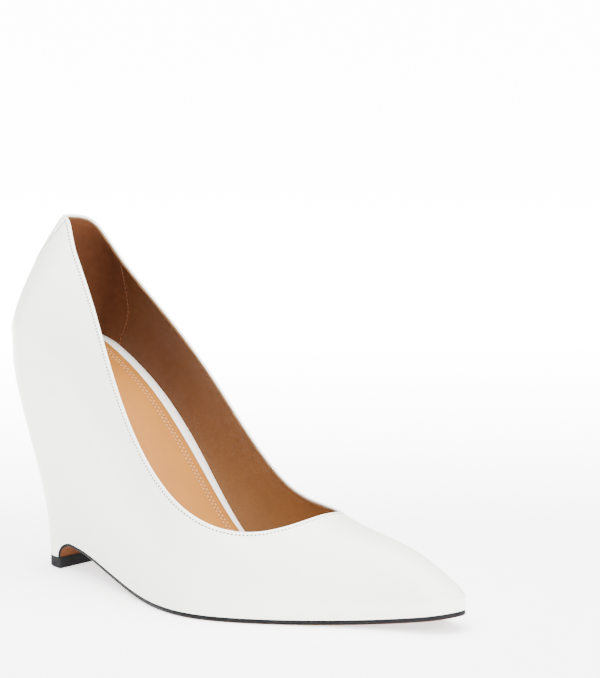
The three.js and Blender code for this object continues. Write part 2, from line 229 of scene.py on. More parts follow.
level = column(1, SEAT_HEIGHT)
widest = {-1: column(2, BALL_WIDTH), 1: column(3, BALL_WIDTH)}
foot = {-1: column(4, BALL_WIDTH), 1: column(5, BALL_WIDTH)}
rise = column(6, LAST_DEPTH)
swing = column(7, BALL_WIDTH)
open_angle = {-1: column(8, 1), 1: column(9, 1)}
hollow = column(10, 1)
draw = column(11, 1)
wedge_height = column(12, SEAT_HEIGHT)


def smooth(t):
    """Ramp with level ends: three times the square less twice the cube."""
    return t * t * (3 - 2 * t)


def smooth_between(v, a, b):
    """0 below a, 1 above b and a smooth ramp between."""
    return smooth(np.clip((v - a) / (b - a), 0, 1))


def by_side(pair, side, x):
    """Value of the outer side's curve where side is negative and of the inner side's elsewhere."""
    return np.where(side < 0, pair[-1](x), pair[1](x))


def flank(t, c):
    """Share of the half width gained up the flank: bulging for c 0, hollow for c 1."""
    return (1 - c) * (1 - (1 - t) ** 2) + c * smooth(t)


def opening(x, side):
    """Angle from the top of the last down to the top edge, narrowing to nothing at the throat."""
    t = np.clip((THROAT_AT - x) / THROAT_RUN, 0, 1)
    share = (1 - (1 - t) ** THROAT_POWER) ** (1 / THROAT_POWER)
    return np.radians(by_side(open_angle, side, x)) * share


COLLAR_HEIGHT = SEAT_HEIGHT + float(rise(0.0) * np.cos(opening(0.0, -1)))


def lean(z):
    """Forward lean of the back: a smooth ramp down to nothing from the tip to the seat, and a power
    of the height from above the wedge to the collar."""
    s = np.clip((z - LEAN_START) / (COLLAR_HEIGHT - LEAN_START), 0, 2)
    return LEAN_LOW * (1 - smooth_between(z, TIP_HEIGHT, SEAT_HEIGHT)) + LEAN_TOP * s ** LEAN_POWER


def placed_x(x, z):
    """Place along the shoe: the lean is added in full at the back and fades out towards the front."""
    return x + lean(z) * np.clip(1 - x / LEAN_FADE, 0, 1) ** 2


def heel_round(x, z):
    """Rounding of the heel in plan: 0 at the very back and 1 past the rounding length."""
    s = np.clip((z - SEAT_HEIGHT) / (COLLAR_HEIGHT - SEAT_HEIGHT), 0, 1.2)
    low = (ROUND_SEAT - ROUND_LOW) * smooth_between(z, TIP_HEIGHT, SEAT_HEIGHT)
    run = ROUND_LOW + low + (ROUND_COLLAR - ROUND_SEAT) * s ** 1.5
    g = np.clip(x / run, 0, 1)
    return (1 - (1 - g) ** ROUND_POWER) ** (1 / ROUND_POWER)


def nose_round(x):
    """Rounding of the toe in plan: a quarter of an ellipse over the nose's length."""
    q = np.clip((x - (LENGTH - NOSE_LENGTH)) / NOSE_LENGTH, 0, 1)
    return np.sqrt(np.clip(1 - q * q, 0, 1))


TIP_FRONT_SCALE = 1 - 2 * LEAN_LOW * (1 - TIP_LENGTH / LEAN_FADE) / LEAN_FADE
BREAST_AT = TIP_LENGTH - SOLE_ARCH / TIP_FRONT_SCALE


def arch_line(x):
    """Top of the outsole: down from the notch to the forefoot, then up with the toe spring."""
    t = np.clip((x - NOTCH_END) / (ARCH_END - NOTCH_END), 0, 1)
    spring = np.clip((x - SPRING_START) / (LENGTH - SPRING_START), 0, 1)
    return SOLE + (NOTCH_HEIGHT - SOLE) * (1 - t) ** 2 * (1 + 0.9 * t) + TOE_SPRING * spring ** 2


def sole_line(x, lift):
    """Edge of the sole: level over the tip, up round the notch, then along the arch."""
    start = BREAST_AT - lift
    base = TIP_HEIGHT + FIT_GAP
    u = np.clip((x - start) / (NOTCH_END - start), 0, 1)
    notch = base + (NOTCH_HEIGHT + lift - base) * np.sqrt(1 - (1 - u) ** 2)
    return np.where(x <= start, base, np.where(x < NOTCH_END, notch, arch_line(x) + lift))


def station(a):
    """Place along the last for a walk from the heel, 0, over the throat, 1, to the toe, 2. It sets
    off slowly at the heel, as a power of the walk, and slows down as a parabola at the toe."""
    back = THROAT_AT * (1 - (1 - np.clip(a, 0, 1) ** ROUND_POWER) ** THROAT_POWER)
    front = (LENGTH - THROAT_AT) * (1 - (2 - np.clip(a, 1, 2)) ** 2)
    return back + front


def walk_at(x):
    """The walk from the heel to a place behind the throat, which turns station round."""
    return (1 - (1 - x / THROAT_AT) ** (1 / THROAT_POWER)) ** (1 / ROUND_POWER)


def on_last(walk, s):
    """Point of the outer surface. walk runs from -2 at the toe along the outer side to 0 at the
    heel and back along the inner side to 2. s is 0 at the sole edge, 1 at the widest line and 2
    at the top edge or ridge. Below the widest line the half width follows the flank, over it the
    cosine of the angle round the last, raised to twice the draw."""
    walk = (walk + 2) % 4 - 2
    side = np.where(walk < 0, -1, 1)
    x = station(np.abs(walk))
    nose = nose_round(x)
    low_z = sole_line(x, FIT_GAP)
    wide_z = level(x)
    wide = by_side(widest, side, x)
    narrow = by_side(foot, side, x)
    t = np.clip(s, 0, 1)
    flank_half = narrow + (wide - narrow) * flank(t, np.clip(hollow(x), 0, 1))
    phi = np.clip(s - 1, 0, 2) * (math.pi / 2 - opening(x, side))
    over_half = wide * np.clip(np.cos(phi), 0, 1) ** (2 * draw(x))
    half = np.where(s <= 1, flank_half, over_half) * nose
    z = np.where(s <= 1, low_z + (wide_z - low_z) * t, wide_z + rise(x) * nose * np.sin(phi))
    return np.stack(np.broadcast_arrays(
        placed_x(x, z), swing(x) + side * half * heel_round(x, z), z), -1)


def unit(v):
    return v / np.maximum(np.linalg.norm(v, axis=-1, keepdims=True), 1e-9)


def normal_at(walk, s):
    """Outward normal: the cross product of two small steps over the surface."""
    step = 0.002
    along = on_last(walk + step, s) - on_last(walk - step, s)
    up = on_last(walk, np.minimum(s + step, 2)) - on_last(walk, np.maximum(s - step, 0))
    return unit(np.cross(along, up)) * -1


def wall(walk, s, depth):
    """Point at a depth under the outer surface."""
    return on_last(walk, s) - normal_at(walk, s) * np.asarray(depth)[..., None]


def level_share(walk, z):
    """The share s at which the wall reaches a height."""
    side = np.where(walk < 0, -1, 1)
    x = station(np.abs(walk))
    low_z = sole_line(x, FIT_GAP)
    wide_z = level(x)
    turned = np.arcsin(np.clip((z - wide_z) / np.maximum(rise(x) * nose_round(x), 1e-6), 0, 1))
    over = 1 + turned / (math.pi / 2 - opening(x, side))
    return np.where(z <= wide_z, np.clip((z - low_z) / (wide_z - low_z), 0, 1), over)


# The part's frame: the same wall, moved by the part's own box
outline = on_last(np.linspace(-2, 2, 1601)[:, None], np.linspace(0, 2, 201)[None, :])
cad_low = np.array(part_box("upper")[0])
SHIFT = np.array([cad_low[0] - outline[..., 0].min() * MM, cad_low[1] - outline[..., 1].min() * MM, 0])


def sheet_faces(columns, rows, ring=False):
    """Quads of a grid stored column by column; ring joins the last column to the first."""
    i, j = np.meshgrid(np.arange(columns if ring else columns - 1), np.arange(rows - 1), indexing="ij")
    k = (i + 1) % columns
    quads = [i * rows + j, k * rows + j, k * rows + j + 1, i * rows + j + 1]
    return np.stack(quads, -1).reshape(-1, 4)


def make_piece(name, grids, material, node=None, slot=None, crease=50, caps=()):
    """One closed mesh from grids given as (points, ring, uv). Points that coincide are joined, faces
    that vanish are dropped and all faces are turned outwards. caps are loops of points to close."""
    points, faces, uvs = [], [], []
    count = 0
    for grid, ring, uv in grids:
        columns, rows = grid.shape[:2]
        points.append(grid.reshape(-1, 3))
        faces.append(sheet_faces(columns, rows, ring) + count)
        uvs.append(np.zeros((columns * rows, 2)) if uv is None else uv.reshape(-1, 2))
        count += columns * rows
    face_list = np.concatenate(faces).tolist()
    for cap in caps:
        face_list.append(list(range(count, count + len(cap))))
        points.append(cap)
        uvs.append(np.zeros((len(cap), 2)))
        count += len(cap)
    xyz = np.concatenate(points) * MM + SHIFT
    mesh = bpy.data.meshes.new(name)
    mesh.from_pydata(xyz.tolist(), [], face_list)
    uv_layer = mesh.uv_layers.new(name="walk")
    corner = np.zeros(len(mesh.loops), np.int32)
    mesh.loops.foreach_get("vertex_index", corner)
    uv_layer.data.foreach_set("uv", (np.concatenate(uvs)[corner] * MM).astype(np.float32).ravel())
    work = bmesh.new()
    work.from_mesh(mesh)
    bmesh.ops.remove_doubles(work, verts=work.verts, dist=2e-7)
    bmesh.ops.dissolve_degenerate(work, edges=work.edges, dist=1e-8)
    bmesh.ops.recalc_face_normals(work, faces=work.faces)
    work.to_mesh(mesh)
    work.free()
    mesh.polygons.foreach_set("use_smooth", np.ones(len(mesh.polygons), bool))
    mesh.set_sharp_from_angle(angle=math.radians(crease))
    mesh.materials.append(material)
    piece = bpy.data.objects.new(name, mesh)
    bpy.context.scene.collection.objects.link(piece)
    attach(piece, "root")
    if node:
        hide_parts(node)
    return piece


# Materials

def srgb(red, green, blue):
    """Linear colour from the usual 0 to 255 values."""
    v = np.array([red, green, blue]) / 255
    return (*np.where(v <= 0.04045, v / 12.92, ((v + 0.055) / 1.055) ** 2.4).tolist(), 1)


def node(tree, kind, inputs=None, **settings):
    made = tree.nodes.new(kind)
    for key, value in settings.items():
        setattr(made, key, value)
    for key, value in (inputs or {}).items():
        if isinstance(value, bpy.types.NodeSocket):
            tree.links.new(value, made.inputs[key])
        else:
            made.inputs[key].default_value = value
    return made


def new_group(name, inputs, outputs):
    """Empty shader group with named sockets: C for a colour, F for a number."""
    kinds = {"C": "NodeSocketColor", "F": "NodeSocketFloat"}
    tree = bpy.data.node_groups.new(name, "ShaderNodeTree")
    for way, sockets in (("INPUT", inputs), ("OUTPUT", outputs)):
        for socket, kind in sockets.items():
            tree.interface.new_socket(socket, in_out=way, socket_type=kinds[kind])
    return tree, tree.nodes.new("NodeGroupInput").outputs, tree.nodes.new("NodeGroupOutput")


def link_out(tree, out, values):
    for key, socket in values.items():
        tree.links.new(socket, out.inputs[key])


def mixed(tree, share, a, b):
    """Colour mix; share, a and b are sockets or values."""
    made = node(tree, "ShaderNodeMix", data_type="RGBA")
    for k, value in ((0, share), (6, a), (7, b)):
        if isinstance(value, bpy.types.NodeSocket):
            tree.links.new(value, made.inputs[k])
        else:
            made.inputs[k].default_value = value
    return made.outputs[2]


def ranged(tree, value, low, high, to_low, to_high):
    made = node(tree, "ShaderNodeMapRange", {
        "Value": value, "From Min": low, "From Max": high, "To Min": to_low, "To Max": to_high})
    return made.outputs["Result"]


def math_node(tree, operation, a, b):
    made = node(tree, "ShaderNodeMath", {0: a, 1: b}, operation=operation)
    return made.outputs[0]


def leather_group():
    """Smooth leather: fine pores and pebbles as height, faint clouds in colour and gloss, and, where Fade is
    set, painted shade that darkens the colour towards the heel.
    """
    tree, given, out = new_group(
        "leather_grain",
        {"Color": "C", "Tint": "C", "Dark": "C", "Fade": "F",
         "Roughness": "F", "Pebbles": "F", "Clouds": "F"},
        {"Color": "C", "Roughness": "F", "Height": "F"})
    place = node(tree, "ShaderNodeTexCoord").outputs["Object"]
    pebble = node(tree, "ShaderNodeTexVoronoi", {"Vector": place, "Scale": given["Pebbles"]},
                  feature="DISTANCE_TO_EDGE").outputs["Distance"]
    fine = node(tree, "ShaderNodeTexNoise", {"Vector": place, "Scale": 2600.0, "Detail": 3.0}).outputs["Fac"]
    cloud = node(tree, "ShaderNodeTexNoise", {"Vector": place, "Scale": given["Clouds"], "Detail": 4.0,
                                              "Roughness": 0.55}).outputs["Fac"]
    furrow = ranged(tree, pebble, 0.0, 0.16, 0.0, 1.0)
    height = math_node(tree, "ADD", math_node(tree, "MULTIPLY", furrow, 0.6),
                       math_node(tree, "MULTIPLY", fine, 0.5))
    shade = ranged(tree, cloud, 0.3, 0.7, 0.0, 1.0)
    along = node(tree, "ShaderNodeSeparateXYZ", {0: place}).outputs["X"]
    # Painted shade: where Fade is set, the colour darkens to Dark towards the heel, over object x from 0.03
    # to -0.06 m. This stands for the shade deep inside the heel, together with some of the leather's own
    # darker tone there.
    painted_heel_shade = math_node(tree, "MULTIPLY", ranged(tree, along, 0.03, -0.06, 0.0, 1.0), given["Fade"])
    color = mixed(tree, painted_heel_shade, mixed(tree, shade, given["Color"], given["Tint"]), given["Dark"])
    rough = math_node(tree, "ADD", given["Roughness"], ranged(tree, cloud, 0.3, 0.7, -0.035, 0.035))
    link_out(tree, out, {"Color": color, "Roughness": rough, "Height": height})
    return tree


def suede_group():
    """Suede nap: short fibres that lean in patches, so colour and height both waver."""
    tree, given, out = new_group(
        "suede_nap", {"Color": "C", "Tint": "C", "Fibres": "F"},
        {"Color": "C", "Roughness": "F", "Height": "F"})
    place = node(tree, "ShaderNodeTexCoord").outputs["Object"]
    patch = node(tree, "ShaderNodeTexNoise", {"Vector": place, "Scale": 160.0, "Detail": 5.0,
                                              "Distortion": 0.8}).outputs["Fac"]
    fibre = node(tree, "ShaderNodeTexNoise", {"Vector": place, "Scale": given["Fibres"], "Detail": 4.0,
                                              "Roughness": 0.7}).outputs["Fac"]
    both = math_node(tree, "ADD", math_node(tree, "MULTIPLY", patch, 0.55),
                     math_node(tree, "MULTIPLY", fibre, 0.45))
    color = mixed(tree, ranged(tree, both, 0.36, 0.64, 0.0, 1.0), given["Color"], given["Tint"])
    rough = ranged(tree, fibre, 0.3, 0.7, 0.82, 0.96)
    link_out(tree, out, {"Color": color, "Roughness": rough, "Height": fibre})
    return tree


def twist_group():
    """Sewing thread: plies that wind round it as slanted bands of height and shade."""
    tree, given, out = new_group(
        "thread_twist", {"Color": "C", "Tint": "C"}, {"Color": "C", "Roughness": "F", "Height": "F"})
    walk = node(tree, "ShaderNodeUVMap", uv_map="walk").outputs["UV"]
    band = node(tree, "ShaderNodeTexWave", {"Vector": walk, "Scale": 1400.0, "Distortion": 0.6,
                                            "Detail": 1.0},
                wave_type="BANDS", bands_direction="DIAGONAL").outputs["Fac"]
    color = mixed(tree, band, given["Tint"], given["Color"])
    rough = ranged(tree, band, 0.0, 1.0, 0.62, 0.48)
    link_out(tree, out, {"Color": color, "Roughness": rough, "Height": band})
    return tree


LEATHER = leather_group()
SUEDE = suede_group()
TWIST = twist_group()


SOCKET_NAMES = {"coat_weight": "Coat Weight", "coat_roughness": "Coat Roughness",
                "specular_ior_level": "Specular IOR Level"}


def new_material(name, group, values, relief, **principled):
    """Material whose colour, roughness and bump come from a shared group. relief is the bump's depth in
    metres; principled holds further values set on the Principled BSDF."""
    material = bpy.data.materials.new(name)
    material.use_nodes = True
    tree = material.node_tree
    shader = tree.nodes["Principled BSDF"]
    effect = node(tree, "ShaderNodeGroup", node_tree=group)
    for key, value in values.items():
        effect.inputs[key].default_value = value
    bump = node(tree, "ShaderNodeBump", {
        "Height": effect.outputs["Height"], "Distance": relief, "Strength": 1.0})
    tree.links.new(effect.outputs["Color"], shader.inputs["Base Color"])
    tree.links.new(effect.outputs["Roughness"], shader.inputs["Roughness"])
    tree.links.new(bump.outputs["Normal"], shader.inputs["Normal"])
    for key, value in principled.items():
        shader.inputs[SOCKET_NAMES[key]].default_value = value
    return material


white_leather = new_material(
    "white_leather", LEATHER,
    {"Color": srgb(238, 238, 229), "Tint": srgb(233, 234, 224), "Roughness": 0.36,
     "Pebbles": 900.0, "Clouds": 35.0},
    0.000012, coat_weight=0.25, coat_roughness=0.22)
white_wrap = new_material(
    "white_wrap", LEATHER,
    {"Color": srgb(246, 243, 234), "Tint": srgb(240, 237, 226), "Roughness": 0.42,
     "Pebbles": 1000.0, "Clouds": 60.0},
    0.00002)
# Dark and Fade paint shade into the lining, darker towards the heel where it lies deep inside the shoe,
# together with some of the leather's own darker tone.
lining_leather = new_material(
    "lining_leather", LEATHER,
    {"Color": srgb(130, 91, 53), "Tint": srgb(117, 81, 45), "Dark": srgb(75, 43, 22), "Fade": 1.0,
     "Roughness": 0.5, "Pebbles": 1300.0, "Clouds": 45.0},
    0.00004, specular_ior_level=0.2)
raw_edge = new_material(
    "raw_edge", SUEDE, {"Color": srgb(116, 86, 58), "Tint": srgb(74, 50, 34), "Fibres": 3200.0}, 0.0001,
    specular_ior_level=0.1)
grip_suede = new_material(
    "grip_suede", SUEDE, {"Color": srgb(84, 50, 31), "Tint": srgb(77, 45, 28), "Fibres": 2400.0}, 0.00009,
    specular_ior_level=0.05)
sock_leather = new_material(
    "sock_leather", LEATHER,
    {"Color": srgb(154, 99, 37), "Tint": srgb(147, 92, 32), "Roughness": 0.5,
     "Pebbles": 1100.0, "Clouds": 40.0},
    0.00003, specular_ior_level=0.3)
white_thread = new_material(
    "white_thread", TWIST, {"Color": srgb(240, 240, 236), "Tint": srgb(196, 196, 190)}, 0.00004)
sock_thread = new_material(
    "sock_thread", TWIST, {"Color": srgb(212, 170, 126), "Tint": srgb(168, 116, 74)}, 0.00004)
grip_thread = new_material(
    "grip_thread", TWIST, {"Color": srgb(106, 64, 34), "Tint": srgb(72, 42, 22)}, 0.00004)
hole_shade = new_material(
    "hole_shade", SUEDE, {"Color": srgb(74, 34, 14), "Tint": srgb(52, 24, 10), "Fibres": 3000.0}, 0.00004)
# Grey of painted shade: dark beads in the topline's needle holes, and thin ridges of painted shadow along the
# side seam and the back strip's edges.
painted_shade_grey = new_material(
    "painted_shade_grey", SUEDE, {"Color": srgb(70, 72, 70), "Tint": srgb(56, 58, 56), "Fibres": 3000.0}, 0.00004)
edge_black = new_material(
    "edge_black", LEATHER,
    {"Color": srgb(13, 13, 15), "Tint": srgb(20, 20, 22), "Roughness": 0.45,
     "Pebbles": 700.0, "Clouds": 90.0},
    0.00004, specular_ior_level=0.08)
tread_tan = new_material(
    "tread_tan", SUEDE, {"Color": srgb(96, 52, 24), "Tint": srgb(80, 42, 18), "Fibres": 1500.0}, 0.00004,
    specular_ior_level=0.2)
tip_rubber = new_material(
    "tip_rubber", SUEDE, {"Color": srgb(24, 24, 26), "Tint": srgb(32, 32, 34), "Fibres": 1300.0}, 0.00005,
    specular_ior_level=0.12)
wedge_block = new_material(
    "wedge_block", SUEDE, {"Color": srgb(196, 180, 148), "Tint": srgb(176, 158, 126), "Fibres": 700.0},
    0.0001)


# Upper: cover and lining

def walk_speed(walk, s):
    """Millimetres of wall passed for one unit of s."""
    step = 0.001
    return np.linalg.norm(on_last(walk, s) - on_last(walk, s - step), axis=-1) / step


half_walk = np.concatenate([np.linspace(0, 1, HEEL_COLUMNS + 1), np.linspace(1, 2, TOE_COLUMNS + 1)[1:]])
ring_walk = np.concatenate([-half_walk[:0:-1], half_walk[:-1]])
row_share = np.concatenate([np.linspace(0, 1, FLANK_ROWS + 1), np.linspace(1, 2, COLLAR_ROWS + 1)[1:]])
open_ring = np.abs(ring_walk) <= 1 + 1e-9
skin_x = station(np.abs(ring_walk))[:, None]
skin_side = np.sign(ring_walk)[:, None]


def ring_normals(grid):
    """Outward normals of the ring-shaped skin. Points that coincide share one, the sum of the
    normals of the faces round them."""
    points = grid.reshape(-1, 3)
    quads = sheet_faces(*grid.shape[:2], ring=True)
    ids = np.unique(np.round(points, 4), axis=0, return_inverse=True)[1].ravel()
    a, b, c, d = (points[quads[:, k]] for k in range(4))
    face = np.cross(c - a, d - b)
    total = np.zeros((ids.max() + 1, 3))
    for k in range(4):
        np.add.at(total, ids[quads[:, k]], face)
    normals = unit(total)[ids].reshape(grid.shape)
    outward = np.sign((normals[..., 1] * grid[..., 1]).sum())
    return normals * outward


def dropped_skin(drop):
    """The skin with its top edge lower by a distance along the wall, fading out at the throat."""
    fade = smooth_between(1 - np.abs(ring_walk), 0, 0.06)
    speed = walk_speed(ring_walk, np.full(ring_walk.shape, 2.0))
    lower = drop * fade / np.maximum(speed, 1)
    share = np.where(row_share <= 1, row_share, 1 + (row_share - 1) * (1 - lower[:, None]))
    grid = on_last(ring_walk[:, None], share)
    return grid, ring_normals(grid)


def board_line(x):
    """Height of the insole's underside along the last."""
    return arch_line(x) + np.maximum(0, wedge_height(x)) + FIT_GAP


def cover_relief(x, z, side):
    """Relief of the cover, in millimetres. A soft trough runs where the leather bends over the
    insole's edge: a bell curve of the distance to that line, fading out over the arch. A faint fold
    crosses the outer flank down to the sole, a narrower bell curve along a slanted line."""
    slope = (board_line(x + 1) - board_line(x - 1)) / 2
    off_line = (z - board_line(x) - TROUGH_OVER) / np.hypot(1, slope)
    trough = -TROUGH_DEPTH * np.exp(-(off_line / TROUGH_HALF) ** 2)
    shoulder = SHOULDER_HEIGHT * np.exp(-((off_line - SHOULDER_OVER) / SHOULDER_HALF) ** 2)
    fold_line = FOLD_LEVEL - (x - FOLD_AT) * FOLD_FALL + FOLD_BEND * (x - FOLD_AT) ** 2
    across = (z - fold_line) * FOLD_SQUARE
    fold = -FOLD_DEPTH * np.exp(-(across / FOLD_HALF) ** 2)
    fold = fold * smooth_between(x, *FOLD_STARTS) * (1 - smooth_between(x, *FOLD_FADES))
    return (trough + shoulder) * (1 - smooth_between(x, *RELIEF_FADES)) + fold * (side < 0)


def top_edge_frame(grid, normals):
    """Top edge from the throat round the heel, with its normals and the way down the wall."""
    line, normal = grid[open_ring, -1], normals[open_ring, -1]
    tangent = unit(np.gradient(line, axis=0))
    tangent[[0, -1]] = unit(line[1] - line[0] + line[-1] - line[-2])
    down = unit(np.cross(normal, tangent))
    return line, normal, down * -np.sign(down[len(down) // 2, 2])


def shell(name, grid, normals, outer_depth, inner_depth, relief, swell, rows, material, foot_drop=0.0,
          **links):
    """Wall between two depths with a rounded top edge: the inner skin from the top down, the outer
    skin from the sole up, and half an ellipse over the edge from the throat round the heel. rows is
    the step through the skin's rows, foot_drop how far the foot reaches under the skin's own."""
    pick = np.arange(0, len(row_share), rows)
    outer = grid[:, pick] + normals[:, pick] * (relief[:, pick] - outer_depth)[..., None]
    inner = grid[:, pick] - normals[:, pick] * inner_depth
    outer[:, 0, 2] -= foot_drop
    inner[:, 0, 2] -= foot_drop
    sheet = np.concatenate([inner[:, ::-1], outer], axis=1)
    theta = np.linspace(0, math.pi, 9)[None, :, None]
    half = (inner_depth - outer_depth) / 2
    line, normal, down = top_edge_frame(grid, normals)
    middle = (line - normal * (inner_depth + outer_depth) / 2)[:, None]
    lip = middle + normal[:, None] * half * np.cos(theta) - down[:, None] * swell * np.sin(theta)
    steps = np.linalg.norm(np.diff(grid[:, 0], axis=0, prepend=grid[:1, 0]), axis=1)
    uv = np.stack(np.broadcast_arrays(np.cumsum(steps)[:, None], sheet[..., 2]), -1)
    return make_piece(name, [(sheet, True, uv), (lip, False, None)], material, **links)


skin, skin_normal = dropped_skin(0.0)
rim_line, rim_normal, rim_down = top_edge_frame(skin, skin_normal)
relief_map = cover_relief(skin_x, skin[..., 2], skin_side)
shell("cover", skin, skin_normal, 0, COVER, relief_map, RIM_SWELL, 1, white_leather, foot_drop=FOOT_DROP,
      node="upper", slot="cover_leather", crease=60)
lining_skin, lining_normal = dropped_skin(LINING_DROP)
shell("lining", lining_skin, lining_normal, COVER + LINING_GAP, UPPER_WALL, np.zeros(skin.shape[:2]),
      LINING_SWELL, 2, lining_leather, node="upper", slot="cover_leather", crease=60)


def raw_edge_strip():
    """Cut edge of the lining: a thin rounded cord of bare leather along its top, from throat to
    throat, that stands a little proud of the lining's face. Two sines of the column's number make
    it waver up and down."""
    line, normal, down = top_edge_frame(lining_skin, lining_normal)
    theta = np.linspace(0, 2 * math.pi, 11)[None, :, None]
    wave = sum(high * np.sin(np.arange(len(line)) * pace) for high, pace in CORD_WAVES)
    depth = (COVER + UPPER_WALL + CORD_PROUD) / 2
    middle = (line - normal * depth + down * (CORD_SINK + wave)[:, None])[:, None]
    cord = middle + normal[:, None] * CORD_ACROSS * np.cos(theta) + down[:, None] * CORD_DOWN * np.sin(theta)
    return make_piece("lining_raw_edge", [(cord, False, None)], raw_edge, node="upper", slot="cover_leather",
                      caps=[cord[0, :-1], cord[-1, :-1]])


raw_edge_strip()


def heel_patch(name, reach, low, high, inner_depth, outer_depth, material, across=40, rise_rows=36,
               round_off=0.5):
    """Patch on the wall round the heel, thinning to nothing at its border. reach gives the station of
    its front edge for a share of its height, low and high the wall's shares that it runs between.
    The border thins as a quarter circle over the width round_off."""
    v = np.linspace(0, 1, rise_rows)
    u = np.linspace(-1, 1, 2 * across + 1)
    edge = reach(v)
    s = low + (high - low) * v
    walk = walk_at(edge[None, :] * np.abs(u[:, None]) ** ROUND_POWER) * np.sign(u[:, None])
    share = np.broadcast_to(s[None, :], walk.shape)
    to_side = (1 - np.abs(u))[:, None] * PATCH_HALF
    to_end = np.minimum(v, 1 - v)[None, :] * PATCH_RISE
    thin = np.sqrt(1 - (1 - np.clip(np.minimum(to_side, to_end) / round_off, 0, 1)) ** 2)
    base = wall(walk, share, np.full(walk.shape, outer_depth))
    face = wall(walk, share, outer_depth + (inner_depth - outer_depth) * thin)
    uv = np.stack(np.broadcast_arrays(u[:, None] * PATCH_HALF, v[None, :] * PATCH_RISE), -1)
    closed = np.concatenate([face, base[:, ::-1]], axis=1)
    piece_uv = np.concatenate([uv, uv[:, ::-1]], axis=1)
    return make_piece(name, [(closed, False, piece_uv), (np.stack([base[0], face[0]], 1), False, None),
                             (np.stack([base[-1], face[-1]], 1), False, None),
                             (np.stack([base[:, 0], face[:, 0]], 1), False, None)],
                      material, node="upper", slot="cover_leather")


def grip_reach(v):
    """Front edge of the heel grip: a fixed reach, part of a sine arch that bulges forward a little
    over its middle, and a slight wave."""
    bulge = np.sin(np.clip(v, 0, 1) * math.pi * GRIP_ARCH)
    return GRIP_FRONT + GRIP_BULGE * bulge - GRIP_WAVE * np.cos(v * GRIP_WAVE_PACE)


def strip_reach(v):
    """Edge of the back strip: narrow over the wedge, with a smooth ramp towards the collar."""
    return STRIP_NARROW + STRIP_GAIN * smooth_between(v, STRIP_WIDENS, 1.0)


heel_patch("heel_grip", grip_reach, GRIP_LOW, GRIP_HIGH, UPPER_WALL + GRIP_THICK, UPPER_WALL - GRIP_SINK,
           grip_suede)
heel_patch("back_strip", strip_reach, 0.0, STRIP_TOP, -STRIP_PROUD, STRIP_SINK, white_leather, across=10,
           rise_rows=90, round_off=0.6)

seam_rise = np.linspace(0, 1, 60)
seam_back = 1 - seam_rise ** SEAM_BOW
side_path = SEAM_AT - SEAM_SLANT * seam_back
lining_path = LINING_SEAM_AT - LINING_SEAM_SLANT * seam_back
strip_path = strip_reach(seam_rise)


def seam_strip(name, side, path, ends, depths, half_width, material):
    """Ridge down one side of the wall, half of a rounded box in section. path holds the stations of
    its middle from foot to top and half_width the station from there to its edge; ends are the
    wall's shares at its foot and top, depths those of its crest and of its base."""
    u = np.linspace(-1, 1, 9)[:, None]
    walk = walk_at(path + u * half_width) * side
    share = np.broadcast_to(ends[0] + (ends[1] - ends[0]) * seam_rise, walk.shape)
    crest, base = depths
    face = wall(walk, share, base + (crest - base) * np.sqrt(1 - np.abs(u) ** 3) * np.ones_like(path))
    under = wall(walk, share, np.full(walk.shape, base + 0.2 * np.sign(base - crest)))
    loop = np.concatenate([face, under[::-1], face[:1]], axis=0)
    return make_piece(name, [(loop, False, None)], material, node="upper", slot="cover_leather",
                      caps=[loop[:-1, 0], loop[:-1, -1]])


seam_strip("side_seam", 1, side_path, (0.02, 1.985), (-0.24, 0.1), 0.9, white_leather)
# side_seam_shade and the strip_shade pieces are thin grey ridges of painted shadow along the joints.
seam_strip("side_seam_shade", 1, side_path + 0.95, (0.03, 1.975), (-0.05, 0.1), 0.14, painted_shade_grey)
seam_strip("lining_seam", -1, lining_path, (0.75, 1.985), (UPPER_WALL + 0.22, UPPER_WALL - 0.1), 0.8,
           lining_leather)
for side, side_name in ((-1, "outer"), (1, "inner")):
    seam_strip(f"strip_shade_{side_name}", side, strip_path * 1.01, (0.03, 1.98), (-0.08, 0.1),
               strip_path * 0.022, painted_shade_grey)

# Layers under the foot

under_walk = np.concatenate([np.linspace(0, 1, 90), np.linspace(1, 1.97, 40)[1:]])
under_x = station(under_walk)
board_bottom = board_line(under_x)


def slope_factor(heights):
    """How much longer an upright thickness is than the same thickness square to the slope."""
    return np.hypot(1, np.gradient(heights, placed_x(under_x, heights)))


board_top = board_bottom + BOARD * slope_factor(board_bottom)


def insole_edge(side, heights, depth):
    walk = np.maximum(under_walk, 1e-4) * side
    return wall(walk, level_share(walk, heights), np.full(walk.shape, depth))


EDGE_IN = UPPER_WALL - 0.05
top_edge = {side: insole_edge(side, board_top, EDGE_IN) for side in (-1, 1)}
heel_point = (top_edge[-1][0] + top_edge[1][0]) / 2
plan_path = np.concatenate([top_edge[-1][:0:-1], heel_point[None], top_edge[1][1:]])
plan_tangent = unit(np.gradient(plan_path * [1, 1, 0], axis=0))
plan_inward = np.stack([-plan_tangent[:, 1], plan_tangent[:, 0], 0 * plan_tangent[:, 0]], -1)
if plan_inward[len(plan_path) // 2, 0] < 0:
    plan_inward = -plan_inward
middle_x = (top_edge[-1][:, 0] + top_edge[1][:, 0]) / 2
foot_slope = slope_factor(board_top)


def foot_height(x, lift):
    """Height over the insole's top at a place in plan, lift square to the slope."""
    return np.interp(x, middle_x, board_top) + lift * np.interp(x, middle_x, foot_slope)


path_x = np.concatenate([under_x[:0:-1], under_x])
sock_inset = SOCK_INSET + (SOCK_INSET_BALL - SOCK_INSET) * smooth_between(path_x, SOCK_TAPER_START, ARCH_END)


def inset_path(inset, lift):
    """The insole's outline moved inwards in plan and up from its top face."""
    moved = plan_path + plan_inward * np.broadcast_to(inset, path_x.shape)[:, None]
    moved[:, 2] = foot_height(moved[:, 0], lift)
    return moved


